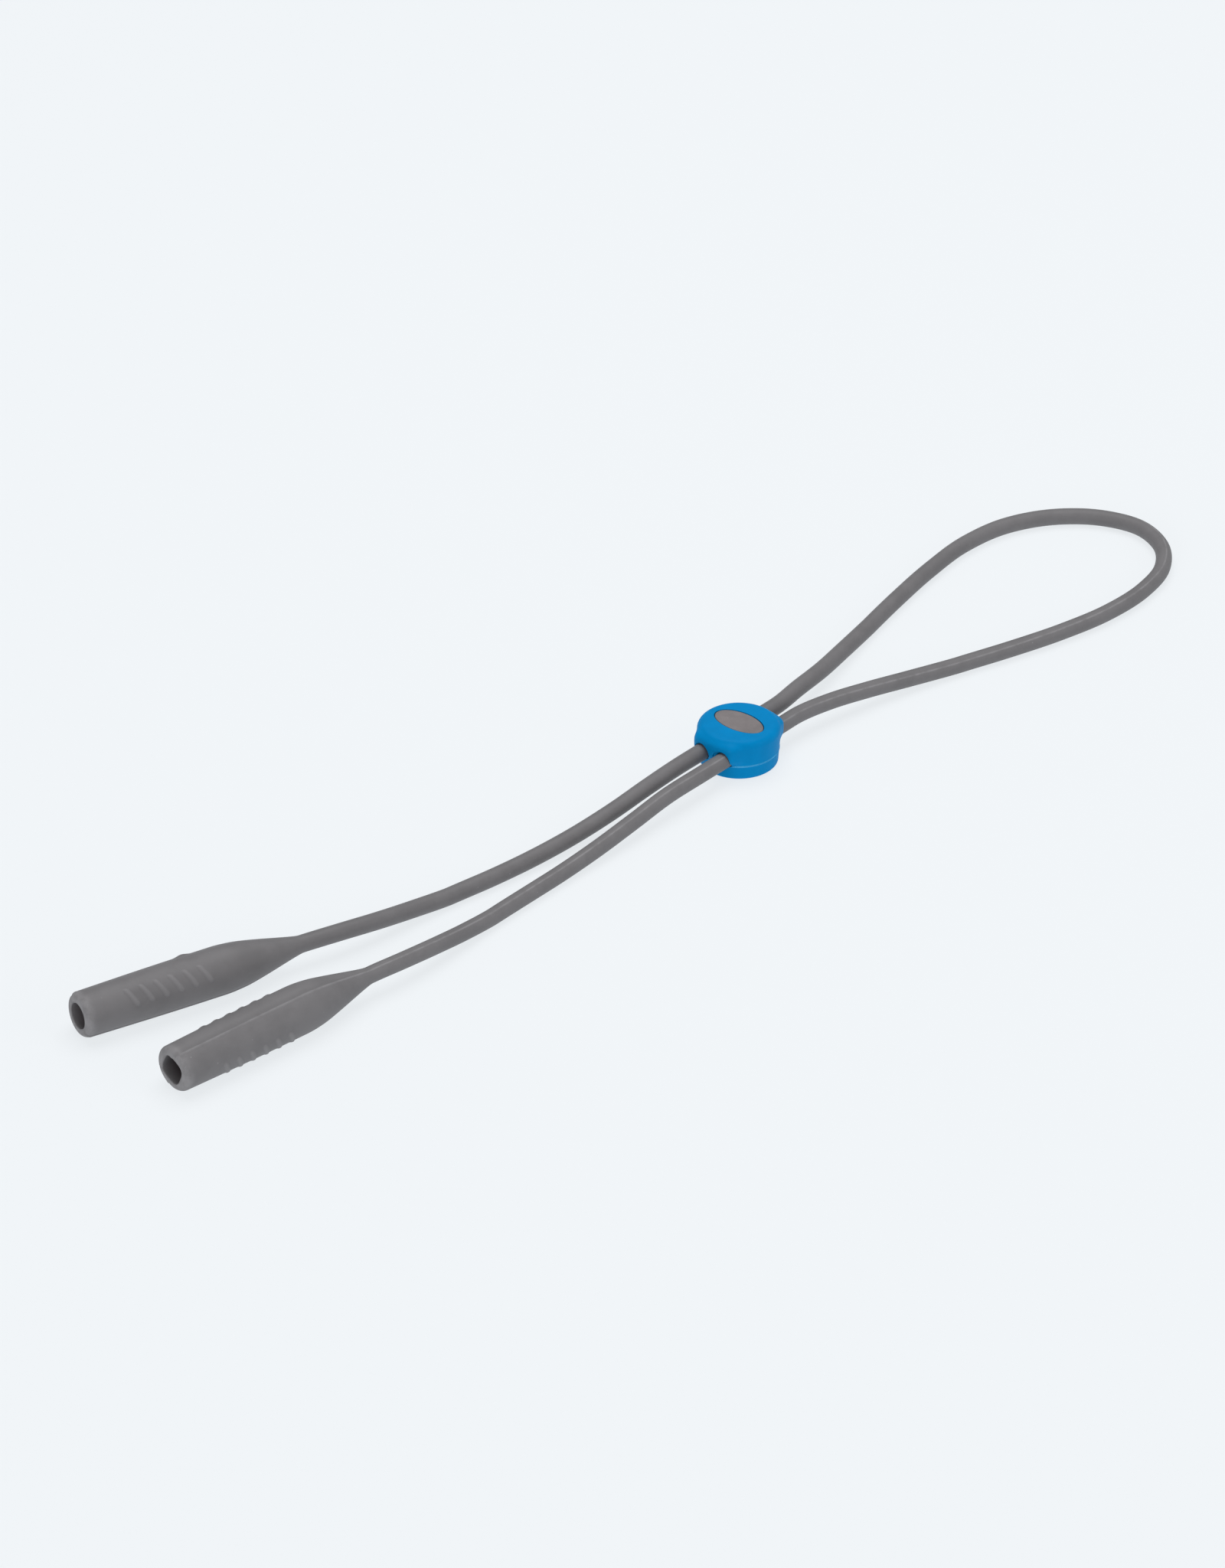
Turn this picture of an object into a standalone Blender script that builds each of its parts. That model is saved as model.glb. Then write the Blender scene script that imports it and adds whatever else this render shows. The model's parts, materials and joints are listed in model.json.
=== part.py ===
"""Eyeglass retainer strap: one cord with a temple sleeve at each end, gathered by a sliding bead.

Metres, +Z up.  The strap lies on the plane z = 0.  The origin is the centre of the slider's
underside, +X runs along its two cord passages towards the loop, and +Y points to the left arm.
"""
import math

import bmesh
import bpy
from mathutils import Euler, Vector
from mathutils.geometry import interpolate_bezier

# Cord
CORD_D = 0.0032
CORD_POINT_SPACING = 0.0075
CURVE_STEPS = 12

# Temple sleeves, turned about their own axes
SLEEVE_D = 0.0090
SLEEVE_BODY_LENGTH = 0.0315
TAPER_LENGTH = 0.0148
TAPER_FULLNESS = 0.05
TAPER_STEPS = 8
BORE_D = 0.0050
BORE_STOP = 0.0020
BORE_CHAMFER = 0.0002
RIM_RADIUS = 0.0010
SLEEVE_SIDES = 32

# Slider bead
SLIDER_D = 0.0160
SLIDER_BASE_D = 0.0146
SLIDER_H = 0.0085
SLIDER_EDGE = 0.0016
SLIDER_BASE_EDGE = 0.0005
JOINT_Z = 0.0030
SLIDER_SIDES = 64
PASSAGE_WEB = 0.0014
PASSAGE_SIDES = 24
SHOULDER_WALL = 0.0005
SHOULDER_PROUD = 0.0001
SHOULDER_EDGE = 0.0004

# Oval inlay in the slider's top
INLAY_MARGIN = 0.0009
INLAY_WIDTH = 0.0060
INLAY_DEPTH = 0.0010
INLAY_EDGE = 0.00015
INLAY_SIDES = 48

# Fits
CLEARANCE = 0.0003
ROUND_STEPS = 4
MERGE_DISTANCE = 0.00001

# Values that follow from the ones above
PASSAGE_D = CORD_D + 2 * CLEARANCE
PASSAGE_SPACING = PASSAGE_D + PASSAGE_WEB
PASSAGE_Z = SLIDER_H / 2
SHOULDER_LENGTH = SLIDER_D + 2 * SHOULDER_PROUD
SHOULDER_WIDTH = PASSAGE_SPACING + PASSAGE_D + 2 * SHOULDER_WALL
SHOULDER_H = PASSAGE_D + 2 * SHOULDER_WALL
INLAY_LENGTH = SLIDER_D - 2 * SLIDER_EDGE - 2 * INLAY_MARGIN
SLEEVE_LENGTH = SLEEVE_BODY_LENGTH + TAPER_LENGTH
SLEEVE_Z = SLEEVE_D / 2

# Where each sleeve's small end lies, and how far its mouth turns towards +Y from -X
LEFT_SLEEVE_END = (-0.1068, 0.0146)
LEFT_SLEEVE_YAW = math.radians(18.1)
RIGHT_SLEEVE_END = (-0.1065, -0.0018)
RIGHT_SLEEVE_YAW = math.radians(7.4)

# The cord's route.  Each point is x, y and lift: 0 rests on the surface, and 1 is level with the
# sleeve's axis on an arm or with the slider's passages on the necks and the loop.
LEFT_ARM_ROUTE = [
    (-0.0990, 0.0121, 0.94),
    (-0.0905, 0.0102, 0.66),
    (-0.0820, 0.0091, 0.27),
]
LEFT_PIVOT = (-0.0740, 0.0079)
LEFT_NECK_ROUTE = [
    (-0.0640, 0.0061, 0.00),
    (-0.0540, 0.0047, 0.04),
    (-0.0440, 0.0034, 0.28),
    (-0.0340, 0.0025, 0.65),
    (-0.0240, 0.0024, 0.93),
]
LOOP_ROUTE = [
    (0.0220, 0.0038, 0.92),
    (0.0310, 0.0055, 0.62),
    (0.0410, 0.0081, 0.24),
    (0.0520, 0.0107, 0.00),
    (0.0640, 0.0132, 0.00),
    (0.0770, 0.0154, 0.00),
    (0.0890, 0.0164, 0.00),
    (0.1000, 0.0147, 0.00),
    (0.1092, 0.0094, 0.00),
    (0.1149, 0.0020, 0.00),
    (0.1167, -0.0060, 0.00),
    (0.1138, -0.0134, 0.00),
    (0.1071, -0.0189, 0.00),
    (0.0980, -0.0213, 0.00),
    (0.0870, -0.0213, 0.00),
    (0.0750, -0.0190, 0.00),
    (0.0630, -0.0154, 0.00),
    (0.0520, -0.0116, 0.00),
    (0.0410, -0.0082, 0.24),
    (0.0310, -0.0057, 0.62),
    (0.0220, -0.0038, 0.92),
]
RIGHT_NECK_ROUTE = [
    (-0.0240, -0.0025, 0.93),
    (-0.0340, -0.0028, 0.65),
    (-0.0440, -0.0028, 0.28),
    (-0.0540, -0.0027, 0.04),
    (-0.0640, -0.0027, 0.00),
]
RIGHT_PIVOT = (-0.0740, -0.0028)
RIGHT_ARM_ROUTE = [
    (-0.0820, -0.0031, 0.27),
    (-0.0905, -0.0033, 0.66),
    (-0.0990, -0.0029, 0.94),
]
STRAIGHT_OUT = 0.0060

# Colours, linear, with roughness
GREY_SILICONE = ((0.165, 0.162, 0.168), 0.55)
BLUE_SILICONE = ((0.003, 0.245, 0.580), 0.50)
INLAY_GREY = ((0.225, 0.215, 0.220), 0.50)


def clear_scene():
    for obj in list(bpy.data.objects):
        bpy.data.objects.remove(obj, do_unlink=True)


def new_collection(name):
    collection = bpy.data.collections.new(name)
    bpy.context.scene.collection.children.link(collection)
    return collection


def new_material(name, finish):
    colour, roughness = finish
    material = bpy.data.materials.new(name)
    material.use_nodes = True
    shader = material.node_tree.nodes["Principled BSDF"]
    shader.inputs["Base Color"].default_value = (*colour, 1.0)
    shader.inputs["Roughness"].default_value = roughness
    shader.inputs["Metallic"].default_value = 0.0
    return material


def new_object(name, data, collection, parent=None, location=(0, 0, 0), rotation=(0, 0, 0)):
    """Link an object at a world location; a parent empty is never turned or scaled."""
    obj = bpy.data.objects.new(name, data)
    collection.objects.link(obj)
    obj.parent = parent
    obj.location = Vector(location) - (parent.location if parent else Vector())
    obj.rotation_euler = rotation
    return obj


def mark_as_cutter(obj):
    obj.hide_render = True
    obj.display_type = "WIRE"


def smooth(mesh, angle):
    mesh.shade_smooth()
    mesh.set_sharp_from_angle(angle=angle)


def add_boolean(obj, operation, operand):
    modifier = obj.modifiers.new(operation.lower() + "_" + operand.name, "BOOLEAN")
    modifier.operation = operation
    modifier.solver = "EXACT"
    modifier.object = operand


def add_bevel(obj, width, segments):
    modifier = obj.modifiers.new("rounded_edges", "BEVEL")
    modifier.width = width
    modifier.segments = segments
    modifier.limit_method = "ANGLE"
    modifier.angle_limit = math.radians(60)


def add_screw(obj, sides):
    modifier = obj.modifiers.new("turned", "SCREW")
    modifier.axis = "Z"
    modifier.steps = sides
    modifier.render_steps = sides
    modifier.use_merge_vertices = True
    modifier.merge_threshold = MERGE_DISTANCE


def add_even_shading(obj):
    obj.modifiers.new("even_shading", "WEIGHTED_NORMAL")


def profile_mesh(name, points):
    """An open outline of (radius, height) points that a Screw modifier turns about Z."""
    mesh = bpy.data.meshes.new(name)
    edges = [(i, i + 1) for i in range(len(points) - 1)]
    mesh.from_pydata([(radius, 0.0, height) for radius, height in points], edges, [])
    return mesh


def quarter_round(centre, radius, start):
    """Points of a quarter circle about centre that turns clockwise from the angle start."""
    angles = [start - math.pi / 2 * step / ROUND_STEPS for step in range(ROUND_STEPS + 1)]
    return [(centre[0] + radius * math.cos(a), centre[1] + radius * math.sin(a)) for a in angles]


def cylinder_mesh(name, radius, length, sides):
    mesh = bpy.data.meshes.new(name)
    work = bmesh.new()
    bmesh.ops.create_cone(work, cap_ends=True, segments=sides,
                          radius1=radius, radius2=radius, depth=length)
    work.to_mesh(mesh)
    work.free()
    return mesh


def box_mesh(name, size):
    mesh = bpy.data.meshes.new(name)
    work = bmesh.new()
    bmesh.ops.create_cube(work, size=1.0)
    bmesh.ops.scale(work, vec=size, verts=work.verts)
    work.to_mesh(mesh)
    work.free()
    return mesh


def oval_mesh(name, length, width, height):
    """An upright oval disc whose long side lies along Y."""
    mesh = cylinder_mesh(name, 0.5, height, INLAY_SIDES)
    work = bmesh.new()
    work.from_mesh(mesh)
    bmesh.ops.scale(work, vec=(width, length, 1.0), verts=work.verts)
    work.to_mesh(mesh)
    work.free()
    return mesh


# ---- cord ----

def route_points(route, level):
    """Route points in space: lift 0 lies on the surface, and lift 1 is at the given level."""
    rest = CORD_D / 2
    return [Vector((x, y, rest + lift * (level - rest))) for x, y, lift in route]


def passage_points(side, direction):
    """Straight run through one of the slider's passages and a little way out of both ends."""
    near = SHOULDER_LENGTH / 2 + CORD_D / 2
    far = SHOULDER_LENGTH / 2 + STRAIGHT_OUT
    y = side * PASSAGE_SPACING / 2
    return [Vector((direction * x, y, PASSAGE_Z)) for x in (-far, -near, near, far)]


def sleeve_direction(yaw):
    return Vector((-math.cos(yaw), math.sin(yaw), 0.0))


def cord_start(end, yaw):
    """Where the cord's end face stands, a clearance away from the sleeve's small end."""
    return Vector((*end, SLEEVE_Z)) - CLEARANCE * sleeve_direction(yaw)


def pivot_point(pivot):
    return Vector((*pivot, CORD_D / 2))


def smooth_segments(points):
    """Finely sampled pieces of one smooth curve through the points, never below the surface."""
    gaps = [(b - a).length for a, b in zip(points, points[1:])]
    slopes = [(b - a) / gap for a, b, gap in zip(points, points[1:], gaps)]
    tangents = [slopes[0]]
    for i in range(1, len(slopes)):
        blend = slopes[i - 1] * gaps[i] + slopes[i] * gaps[i - 1]
        tangents.append(blend / (gaps[i - 1] + gaps[i]))
    tangents.append(slopes[-1])
    segments = []
    for i, gap in enumerate(gaps):
        handle_a = points[i] + tangents[i] * gap / 3
        handle_b = points[i + 1] - tangents[i + 1] * gap / 3
        segments.append(interpolate_bezier(points[i], handle_a, handle_b, points[i + 1], CURVE_STEPS))
    for segment in segments:
        for point in segment:
            point.z = max(point.z, CORD_D / 2)
    return segments


def path_length(path):
    return sum((b - a).length for a, b in zip(path, path[1:]))


def even_points(path, spacing):
    """The same path with points about a spacing apart."""
    count = max(2, round(path_length(path) / spacing))
    step = path_length(path) / count
    result = [path[0]]
    walked = 0.0
    for a, b in zip(path, path[1:]):
        length = (b - a).length
        while len(result) < count and walked + length >= step * len(result):
            result.append(a.lerp(b, (step * len(result) - walked) / length))
        walked += length
    result.append(path[-1])
    return result


def trimmed(path, start_gap, end_gap):
    """The path with its first and last points drawn in along it by the given gaps."""
    first = path[0] + (path[1] - path[0]).normalized() * start_gap
    last = path[-1] + (path[-2] - path[-1]).normalized() * end_gap
    return [first] + path[1:-1] + [last]


def cord_paths():
    """Even centre lines of the left arm, the middle stretch and the right arm."""
    left_arm = [cord_start(LEFT_SLEEVE_END, LEFT_SLEEVE_YAW)] + route_points(LEFT_ARM_ROUTE, SLEEVE_Z)
    right_arm = route_points(RIGHT_ARM_ROUTE, SLEEVE_Z)
    right_arm.append(cord_start(RIGHT_SLEEVE_END, RIGHT_SLEEVE_YAW))
    middle = route_points(LEFT_NECK_ROUTE, PASSAGE_Z) + passage_points(1, 1)
    middle += route_points(LOOP_ROUTE, PASSAGE_Z) + passage_points(-1, -1)
    middle += route_points(RIGHT_NECK_ROUTE, PASSAGE_Z)
    points = left_arm + [pivot_point(LEFT_PIVOT)] + middle + [pivot_point(RIGHT_PIVOT)] + right_arm
    segments = smooth_segments(points)
    first_cut = len(left_arm)
    second_cut = len(left_arm) + 1 + len(middle)
    paths = []
    for part in (segments[:first_cut], segments[first_cut:second_cut], segments[second_cut:]):
        fine = [part[0][0]]
        for segment in part:
            fine.extend(segment[1:])
        paths.append(even_points(fine, CORD_POINT_SPACING))
    half_gap = CLEARANCE / 2
    return (trimmed(paths[0], 0, CLEARANCE), trimmed(paths[1], half_gap, half_gap),
            trimmed(paths[2], CLEARANCE, 0))


def add_cord(name, path, collection, material, parent=None):
    curve = bpy.data.curves.new(name, "CURVE")
    curve.dimensions = "3D"
    curve.bevel_depth = CORD_D / 2
    curve.bevel_resolution = 2
    curve.use_fill_caps = True
    spline = curve.splines.new("POLY")
    spline.points.add(len(path) - 1)
    offset = parent.location if parent else Vector()
    for point, place in zip(spline.points, path):
        point.co = (*(place - offset), 1.0)
    curve.materials.append(material)
    new_object(name, curve, collection, parent, offset)


# ---- sleeves ----

def sleeve_profile():
    """From the bore's end up to the mouth, over the rim, and down the outside to the cord."""
    cord_r = CORD_D / 2
    bore_r = BORE_D / 2
    outer_r = SLEEVE_D / 2
    rim = min(RIM_RADIUS, (outer_r - bore_r) / 2)
    points = [(0.0, TAPER_LENGTH + BORE_STOP), (bore_r, TAPER_LENGTH + BORE_STOP),
              (bore_r, SLEEVE_LENGTH - BORE_CHAMFER), (bore_r + BORE_CHAMFER, SLEEVE_LENGTH)]
    points += quarter_round((outer_r - rim, SLEEVE_LENGTH - rim), rim, math.pi / 2)
    for step in range(TAPER_STEPS, -1, -1):
        share = step / TAPER_STEPS
        ease = share + TAPER_FULLNESS * math.sin(math.pi * share)
        points.append((cord_r + (outer_r - cord_r) * ease, TAPER_LENGTH * share))
    points.append((0.0, 0.0))
    return points


def add_sleeve(name, end, yaw, collection, material, parent):
    mesh = profile_mesh(name, sleeve_profile())
    mesh.materials.append(material)
    turn = sleeve_direction(yaw).to_track_quat("Z", "Y").to_euler()
    sleeve = new_object(name, mesh, collection, parent, (*end, SLEEVE_Z), turn)
    add_screw(sleeve, SLEEVE_SIDES)
    add_even_shading(sleeve)


# ---- slider ----

def slider_profile():
    """The bead's outline from the middle of its top, down its side, to the middle below."""
    top = (SLIDER_D / 2 - SLIDER_EDGE, SLIDER_H - SLIDER_EDGE)
    base = (SLIDER_BASE_D / 2 - SLIDER_BASE_EDGE, SLIDER_BASE_EDGE)
    points = [(0.0, SLIDER_H)]
    points += quarter_round(top, SLIDER_EDGE, math.pi / 2)
    points += quarter_round(base, SLIDER_BASE_EDGE, 0.0)
    points.append((0.0, 0.0))
    return points


def add_slider_cutters(collection):
    """The shapes that both halves of the slider are joined with or cut by."""
    shoulder = new_object("shoulder_block",
                          box_mesh("shoulder_block", (SHOULDER_LENGTH, SHOULDER_WIDTH, SHOULDER_H)),
                          collection, location=(0, 0, PASSAGE_Z))
    add_bevel(shoulder, SHOULDER_EDGE, 2)
    passages = []
    for label, side in (("left", 1), ("right", -1)):
        name = label + "_passage_cutter"
        mesh = cylinder_mesh(name, PASSAGE_D / 2, 2 * SLIDER_D, PASSAGE_SIDES)
        passages.append(new_object(name, mesh, collection,
                                   location=(0, side * PASSAGE_SPACING / 2, PASSAGE_Z),
                                   rotation=Euler((0, math.pi / 2, 0))))
    recess_depth = INLAY_DEPTH + CLEARANCE
    recess = new_object("inlay_recess_cutter",
                        oval_mesh("inlay_recess_cutter", INLAY_LENGTH + 2 * CLEARANCE,
                                  INLAY_WIDTH + 2 * CLEARANCE, 2 * recess_depth),
                        collection, location=(0, 0, SLIDER_H))
    halves = {}
    for label, direction in (("upper", 1), ("lower", -1)):
        name = label + "_half_cutter"
        reach = direction * (SLIDER_H - CLEARANCE) / 2
        halves[label] = new_object(name, box_mesh(name, (2 * SLIDER_D, 2 * SLIDER_D, SLIDER_H)),
                                   collection, location=(0, 0, JOINT_Z + reach))
    for cutter in (shoulder, *passages, recess, *halves.values()):
        mark_as_cutter(cutter)
    return shoulder, passages, recess, halves


def add_slider_half(name, cutters, removed_half, collection, material, parent):
    """One moulded half: the turned bead and its shoulders, less the passages and the other half."""
    shoulder, passages, recess, halves = cutters
    mesh = profile_mesh(name, slider_profile())
    mesh.materials.append(material)
    half = new_object(name, mesh, collection, parent)
    add_screw(half, SLIDER_SIDES)
    add_boolean(half, "UNION", shoulder)
    for passage in passages:
        add_boolean(half, "DIFFERENCE", passage)
    add_boolean(half, "DIFFERENCE", halves[removed_half])
    if removed_half == "lower":
        add_boolean(half, "DIFFERENCE", recess)
    add_even_shading(half)


def add_inlay(collection, material, parent):
    mesh = oval_mesh("slider_inlay", INLAY_LENGTH, INLAY_WIDTH, INLAY_DEPTH)
    mesh.materials.append(material)
    inlay = new_object("slider_inlay", mesh, collection, parent,
                       (0, 0, SLIDER_H - INLAY_DEPTH / 2))
    add_bevel(inlay, INLAY_EDGE, 1)
    smooth(mesh, math.radians(40))


def main():
    clear_scene()
    strap = new_collection("glasses_retainer_strap")
    cutter_collection = new_collection("cutters")
    grey = new_material("grey_silicone", GREY_SILICONE)
    blue = new_material("blue_silicone", BLUE_SILICONE)
    inlay_grey = new_material("inlay_grey", INLAY_GREY)

    left_arm = new_object("left_arm_pivot", None, strap, location=pivot_point(LEFT_PIVOT))
    right_arm = new_object("right_arm_pivot", None, strap, location=pivot_point(RIGHT_PIVOT))
    slider = new_object("slider_carrier", None, strap, location=(0, 0, PASSAGE_Z))

    left_path, middle_path, right_path = cord_paths()
    add_cord("left_arm_cord", left_path, strap, grey, left_arm)
    add_cord("loop_cord", middle_path, strap, grey)
    add_cord("right_arm_cord", right_path, strap, grey, right_arm)

    for name, end, yaw, arm in (("left_sleeve", LEFT_SLEEVE_END, LEFT_SLEEVE_YAW, left_arm),
                                ("right_sleeve", RIGHT_SLEEVE_END, RIGHT_SLEEVE_YAW, right_arm)):
        add_sleeve(name, end, yaw, strap, grey, arm)

    cutters = add_slider_cutters(cutter_collection)
    add_slider_half("slider_upper_half", cutters, "lower", strap, blue, slider)
    add_slider_half("slider_lower_half", cutters, "upper", strap, blue, slider)
    add_inlay(strap, inlay_grey, slider)


main()
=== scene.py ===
"""Glasses retainer strap: an add-on that builds the strap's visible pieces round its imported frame.

Metres, +Z up.  The strap lies on the plane z = 0.  The origin is under the middle of the slider
bead, +X runs along its cord passages towards the loop, and +Y points to the left arm.
"""
import json
import math

import bmesh
import bpy
import numpy as np
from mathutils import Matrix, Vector
from mathutils.geometry import interpolate_bezier


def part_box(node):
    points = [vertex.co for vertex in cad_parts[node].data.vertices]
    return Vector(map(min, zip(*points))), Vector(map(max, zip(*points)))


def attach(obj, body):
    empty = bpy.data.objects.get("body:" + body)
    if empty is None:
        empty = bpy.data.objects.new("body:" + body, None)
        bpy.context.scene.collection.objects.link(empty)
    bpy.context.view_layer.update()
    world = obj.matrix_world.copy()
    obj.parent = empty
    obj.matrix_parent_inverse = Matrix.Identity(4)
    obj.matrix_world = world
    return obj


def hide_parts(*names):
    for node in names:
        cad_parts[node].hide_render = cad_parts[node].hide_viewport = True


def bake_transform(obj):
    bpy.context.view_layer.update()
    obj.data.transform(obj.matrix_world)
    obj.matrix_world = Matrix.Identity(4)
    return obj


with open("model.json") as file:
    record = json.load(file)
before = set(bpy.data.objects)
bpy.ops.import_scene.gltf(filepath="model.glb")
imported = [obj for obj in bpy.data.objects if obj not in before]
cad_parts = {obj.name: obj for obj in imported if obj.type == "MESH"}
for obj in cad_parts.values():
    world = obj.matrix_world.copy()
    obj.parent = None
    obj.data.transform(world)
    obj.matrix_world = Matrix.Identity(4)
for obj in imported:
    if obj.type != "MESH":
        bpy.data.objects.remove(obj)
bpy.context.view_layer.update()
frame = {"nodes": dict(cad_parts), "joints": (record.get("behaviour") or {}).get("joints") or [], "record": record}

bl_info = {
    "name": "Glasses Retainer Strap",
    "version": (1, 0, 0),
    "blender": (4, 5, 0),
    "location": "3D View > Sidebar > Strap",
    "description": "Builds a soft glasses strap with temple sleeves, a doubled cord and a slider bead",
    "category": "Add Mesh",
}


# ---- what the frame says ----


def extent(node):
    low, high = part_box(node)
    return high - low


def middle(node):
    low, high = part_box(node)
    return (low + high) / 2


MOUNTS = {mount["name"]: mount for mount in frame["record"]["mounts"]}
PIVOTS = {joint["name"]: Vector(joint["pos_m"]) for joint in frame["joints"] if "pos_m" in joint}
SLEEVE_Z = middle("left_sleeve").z
BEAD_D = extent("slider_upper_half").y
BEAD_LENGTH = extent("slider_upper_half").x
BEAD_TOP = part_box("slider_upper_half")[1].z
PASSAGE_Z = BEAD_TOP / 2
JOINT_Z = (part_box("slider_lower_half")[1].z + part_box("slider_upper_half")[0].z) / 2
INLAY_SIZE = extent("slider_inlay")
CORD_D = 2 * PIVOTS["left_arm_swing"].z


# ---- the cord's route ----
# Each point is x, y and lift: 0 rests on the surface, and 1 is level with the sleeve's axis on an
# arm or with the bead's passages on the necks and the loop.

LEFT_ARM_ROUTE = [
    (-0.0990, 0.0121, 0.94),
    (-0.0905, 0.0102, 0.66),
    (-0.0820, 0.0091, 0.27),
]
LEFT_NECK_ROUTE = [
    (-0.0640, 0.0061, 0.00),
    (-0.0540, 0.0047, 0.04),
    (-0.0440, 0.0034, 0.28),
    (-0.0340, 0.0025, 0.65),
    (-0.0240, 0.0024, 0.93),
]
LOOP_ROUTE = [
    (0.0220, 0.0038, 0.92),
    (0.0310, 0.0055, 0.62),
    (0.0410, 0.0081, 0.24),
    (0.0520, 0.0107, 0.00),
    (0.0640, 0.0132, 0.00),
    (0.0770, 0.0154, 0.00),
    (0.0890, 0.0164, 0.00),
    (0.1000, 0.0147, 0.00),
    (0.1092, 0.0094, 0.00),
    (0.1149, 0.0020, 0.00),
    (0.1167, -0.0060, 0.00),
    (0.1138, -0.0134, 0.00),
    (0.1071, -0.0189, 0.00),
    (0.0980, -0.0213, 0.00),
    (0.0870, -0.0213, 0.00),
    (0.0750, -0.0190, 0.00),
    (0.0630, -0.0154, 0.00),
    (0.0520, -0.0116, 0.00),
    (0.0410, -0.0082, 0.24),
    (0.0310, -0.0057, 0.62),
    (0.0220, -0.0038, 0.92),
]
RIGHT_NECK_ROUTE = [
    (-0.0240, -0.0025, 0.93),
    (-0.0340, -0.0028, 0.65),
    (-0.0440, -0.0028, 0.28),
    (-0.0540, -0.0027, 0.04),
    (-0.0640, -0.0027, 0.00),
]
RIGHT_ARM_ROUTE = [
    (-0.0820, -0.0031, 0.27),
    (-0.0905, -0.0033, 0.66),
    (-0.0990, -0.0029, 0.94),
]
PASSAGE_SPACING = 0.0052       # between the middles of the bead's two passages
STRAIGHT_OUT = 0.0060          # how far out of the bead the cord stays straight
CURVE_STEPS = 24               # fine steps from one point of the route to the next

# Where the strands end
ARM_END_X = -0.0600            # the arms' strands end here, and the necks begin

# Points closer than this are one
MERGE_DISTANCE = 1e-7

# Sleeves: lengths, angles, and shares of the size or the shade that each one changes
BORE_RINGS = 36
RING_STEP = 0.0002             # height from one ring of the outside to the next
BORE_LIP = 0.00015             # rounding of the bore's edge
BORE_PAINTED_SHADE_DEPTH = 0.0040       # how far down the bore the full painted shade begins
LEFT_BORE_OVALITY = 0.012      # the left bore is slightly oval
LEFT_BORE_TURN = 0.6
RIGHT_BORE_SHARE = 0.965       # the right bore is slightly narrower and squarish
RIGHT_BORE_SQUARENESS = 3.2
BORE_TAG_DEPTH = 0.055         # a tag of silicone on the right bore's wall
BORE_TAG_PLACE = math.radians(118)
BORE_TAG_REACH = math.radians(16)
SWELL_RATE = 1.3               # how soon the swelling is full, on the way from mouth to taper
TAPER_START = 0.05             # how softly the taper leaves the cord
TAPER_FULLNESS = 0.06          # how far the taper bulges
TAPER_BLEND = 0.0006           # rounding between the taper and the body
MOUTH_RINGS = (0.3, 0.6)       # places of two rings between the bore's edge and the rim
FINE_TAPER = 0.6               # the taper's rings are finer above this share of it
BORE_ROUND_RATE = 1.2          # how soon the bore is round, on the way in
HOLLOW_LEAST = 0.0001          # width of the hollow by the parting lines where it begins
HOLLOW_SPARED = 0.7            # how far a parting line fills the hollow up
LINE_FADE = 0.35               # how much less pale the parting lines are on the full sleeve
GATE_STRETCH = 0.55            # the gate mark is longer than it is wide
RIM_HIGHLIGHT = 0.9                 # strength of the painted highlight on the mouth's rim
BAR_CREST = 0.45               # where a bar's side begins and ends, in its half widths
BAR_FOOT = 1.45
SWAYS = 5.0                    # half waves of the parting lines' sway along the cord

# Slider bead
BLOCK_SQUARENESS = 8           # powers of the squarish curves of the block round the passages
BLOCK_SQUARENESS_ABOVE = 4
BLOCK_SQUARENESS_BELOW = 3
JOINT_CHAMFER = 0.00004        # bevel of each half's edge at the joint
JOINT_RING_STEP = 0.00005      # height from one ring near the joint to the next
LIP_REACH = 0.00028            # how far above and below the joint its lip reaches
FACE_RINGS = 26
PASSAGE_SIDES = 64
CUTTER_OVERRUN = 0.0040        # how far a passage's cutter reaches out of the bead
RECESS_FLARE = 0.00012         # rounding of the recess's edge
RECESS_OVERRUN = 0.0010        # how far the recess's cutter reaches out of the bead
INLAY_SEAT = 0.0001            # gap under the inlay

# An edge over this angle in degrees stays sharp
SHARP_SLEEVE = 50
SHARP_BEAD = 32
SHARP_INLAY = 40

# Silicone: how many times each pattern repeats in a metre, between which of a pattern's levels a
# layer comes in, and how strongly it shows
BROAD_SCALE = 95.0
PATCH_SCALE = 420.0
SKIN_SCALE = 3200.0
SPECK_SCALE = 620.0
MOTTLE_LEVELS = (0.36, 0.64)
HIGHLIGHT_LEVELS = (0.32, 0.62)
DUST_LEVELS = (0.56, 0.64)
ROUGH_LEVELS = (0.3, 0.7)
SPECK_REACH = (0.03, 0.09)
LEAST_HIGHLIGHT = 0.35
RELIEF_PALENESS = 0.40
# Painted shade darkens the hollows beside the sleeves' parting lines
PAINTED_SHADE_STRENGTH = 0.20
PAINTED_SHADE_TONE = 0.4              # colour of the painted shade, as a share of the silicone's
ROUGH_SPREAD = 0.05
SKIN_ROUGHNESS = 0.08
BUMP_STRENGTH = 0.35
SILICONE_IOR = 1.41

# Stage: a softbox has a name, a place, a size, a power in watts and a colour
CAMERA_AIM = Vector((-0.0225, 0.0123, 0.0))
SKY_COLOUR = (0.97, 0.98, 1.0)
SKY_STRENGTH = 0.34
FLOOR_REACH = 6.0
FLOOR_LEVEL = -0.00012
SOFTBOXES = (
    ("overhead_softbox", (0.25, 0.2, 1.3), 1.3, 12.5, (1.0, 1.0, 1.0)),
    ("front_softbox", (0.35, -1.2, 0.55), 0.9, 3.5, (1.0, 0.985, 0.98)),
    ("left_softbox", (-1.3, -0.3, 0.5), 0.8, 5.6, (1.0, 0.975, 0.965)),
)


# ---- settings ----

def size_property(name, description, default):
    return bpy.props.FloatProperty(name=name, description=description, default=default,
                                   min=0.0, precision=5, subtype="DISTANCE", unit="LENGTH")


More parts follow.
